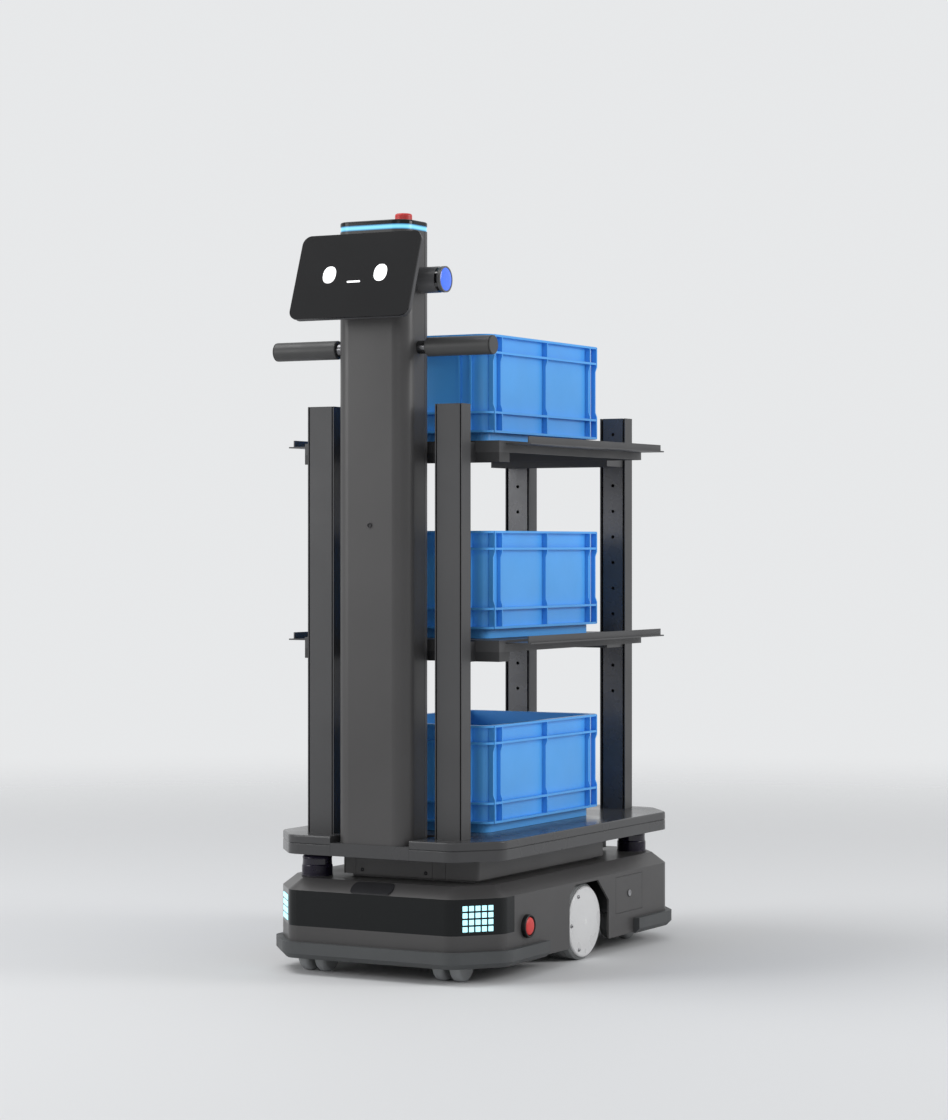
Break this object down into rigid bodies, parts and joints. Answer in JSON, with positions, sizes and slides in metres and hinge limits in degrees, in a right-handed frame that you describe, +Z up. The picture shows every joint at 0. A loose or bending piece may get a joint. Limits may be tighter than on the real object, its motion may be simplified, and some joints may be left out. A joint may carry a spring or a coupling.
{
  "type": "autonomous mobile robot",
  "caption": "Shelf-carrying mobile robot: low drive base, loading platform, mast with tilted screen and handles, posts with shelves and ribbed totes.",
  "frame": {"origin": "on the floor, under the middle of the whole robot's bounding box", "axes": "+Z up, the screen and the front face -Y, +X is the side with the service flap"},
  "size_m": [0.5, 0.8982, 1.344],
  "materials": {
    "housing_plastic": "satin dark grey",
    "deck": "satin dark grey coating",
    "sheet_steel": "satin dark grey powder coat",
    "rail_steel": "satin grey",
    "bright_steel": "polished",
    "mask": "gloss black",
    "window": "gloss black",
    "lights": "lit",
    "ring_light": "lit",
    "lamp_lens": "clear blue",
    "bumper": "matte dark grey",
    "chassis": "matte black",
    "liner": "matte black",
    "motor": "painted",
    "bracket": "matte",
    "battery": "matte",
    "controller": "matte",
    "tyre": "matte black",
    "hub": "machined",
    "disc": "satin light grey",
    "caster_steel": "zinc plated",
    "caster_tyre": "satin dark grey",
    "dark_plastic": "matte black",
    "stop_red": "satin red",
    "lidar": "dark violet",
    "lidar_window": "gloss dark violet",
    "profile": "anodised",
    "screen": "gloss black",
    "grip": "satin dark grey",
    "tote": "satin blue"
  },
  "bodies": {
    "base": {"base_shell": "housing_plastic", "front_mask": "mask", "light_squares": "lights", "sensor_window": "window", "bumpers": "bumper", "chassis_plate": "chassis", "wheel_liners": "liner", "drive_motors": "motor", "motor_saddles": "bracket", "battery_pack": "battery", "controller": "controller", "caster_mounts": "caster_steel", "stop_rings": "dark_plastic", "switch_blocks": "dark_plastic", "charge_socket": "dark_plastic", "lidars": "lidar", "lidar_windows": "lidar_window", "pedestal": "housing_plastic", "pedestal_plate": "housing_plastic", "deck_frame": "deck", "deck_plate": "deck", "column_foot": "deck", "column_front": "housing_plastic", "column_rear": "housing_plastic", "column_profile": "profile", "column_bulkheads": "bracket", "light_ring": "ring_light", "top_cap": "mask", "screen_housing": "dark_plastic", "screen_glass": "screen", "screen_bracket": "bracket", "lamp_tubes": "housing_plastic", "lamp_lenses": "lamp_lens", "handle_grips": "grip", "handle_collars": "bright_steel", "post_channels": "sheet_steel", "post_rails": "rail_steel", "shelves": "sheet_steel", "shelf_beams": "sheet_steel"},
    "wheel_right": {"drive_tyre_right": "tyre", "drive_hub_right": "hub", "wheel_disc_right": "disc"},
    "wheel_left": {"drive_tyre_left": "tyre", "drive_hub_left": "hub", "wheel_disc_left": "disc"},
    "button_right": {"stop_button_right": "stop_red"},
    "button_left": {"stop_button_left": "stop_red"},
    "button_head": {"stop_button_head": "stop_red"},
    "flap": {"service_flap": "housing_plastic"},
    "tote_low": {"tote_lower": "tote"},
    "tote_mid": {"tote_middle": "tote"},
    "tote_high": {"tote_upper": "tote"},
    "fork_front_left": {"caster_fork_front_left": "caster_steel"},
    "casters_front_left": {"caster_wheels_front_left": "caster_tyre"},
    "fork_front_right": {"caster_fork_front_right": "caster_steel"},
    "casters_front_right": {"caster_wheels_front_right": "caster_tyre"},
    "fork_rear_left": {"caster_fork_rear_left": "caster_steel"},
    "casters_rear_left": {"caster_wheels_rear_left": "caster_tyre"},
    "fork_rear_right": {"caster_fork_rear_right": "caster_steel"},
    "casters_rear_right": {"caster_wheels_rear_right": "caster_tyre"}
  },
  "joints": [
    {"name": "drive_right", "type": "hinge", "parent": "base", "child": "wheel_right", "pos_m": [0.186, 0.03165, 0.07], "axis": [1, 0, 0], "continuous": true},
    {"name": "drive_left", "type": "hinge", "parent": "base", "child": "wheel_left", "pos_m": [-0.186, 0.03165, 0.07], "axis": [1, 0, 0], "continuous": true},
    {"name": "swivel_front_left", "type": "hinge", "parent": "base", "child": "fork_front_left", "pos_m": [-0.137, -0.29435, 0.07], "axis": [0, 0, 1], "continuous": true},
    {"name": "roll_front_left", "type": "hinge", "parent": "fork_front_left", "child": "casters_front_left", "pos_m": [-0.137, -0.31835, 0.03], "axis": [1, 0, 0], "continuous": true},
    {"name": "swivel_front_right", "type": "hinge", "parent": "base", "child": "fork_front_right", "pos_m": [0.137, -0.29435, 0.07], "axis": [0, 0, 1], "continuous": true},
    {"name": "roll_front_right", "type": "hinge", "parent": "fork_front_right", "child": "casters_front_right", "pos_m": [0.137, -0.31835, 0.03], "axis": [1, 0, 0], "continuous": true},
    {"name": "swivel_rear_left", "type": "hinge", "parent": "base", "child": "fork_rear_left", "pos_m": [-0.137, 0.35765, 0.07], "axis": [0, 0, 1], "continuous": true},
    {"name": "roll_rear_left", "type": "hinge", "parent": "fork_rear_left", "child": "casters_rear_left", "pos_m": [-0.137, 0.33365, 0.03], "axis": [1, 0, 0], "continuous": true},
    {"name": "swivel_rear_right", "type": "hinge", "parent": "base", "child": "fork_rear_right", "pos_m": [0.137, 0.35765, 0.07], "axis": [0, 0, 1], "continuous": true},
    {"name": "roll_rear_right", "type": "hinge", "parent": "fork_rear_right", "child": "casters_rear_right", "pos_m": [0.137, 0.33365, 0.03], "axis": [1, 0, 0], "continuous": true},
    {"name": "press_right", "type": "slide", "parent": "base", "child": "button_right", "axis": [-1, 0, 0], "range_m": [0, 0.004], "stiffness_N_per_m": 1500},
    {"name": "press_left", "type": "slide", "parent": "base", "child": "button_left", "axis": [1, 0, 0], "range_m": [0, 0.004], "stiffness_N_per_m": 1500},
    {"name": "press_head", "type": "slide", "parent": "base", "child": "button_head", "axis": [0, 0, -1], "range_m": [0, 0.004], "stiffness_N_per_m": 1500},
    {"name": "flap_hinge", "type": "hinge", "parent": "base", "child": "flap", "pos_m": [0.2278, 0.19765, 0.0724], "axis": [0, 1, 0], "range_deg": [0, 95]},
    {"name": "lift_low", "type": "slide", "parent": "base", "child": "tote_low", "axis": [0, 0, 1], "range_m": [0, 0.1]},
    {"name": "lift_mid", "type": "slide", "parent": "base", "child": "tote_mid", "axis": [0, 0, 1], "range_m": [0, 0.1]},
    {"name": "lift_high", "type": "slide", "parent": "base", "child": "tote_high", "axis": [0, 0, 1], "range_m": [0, 0.1]}
  ]
}
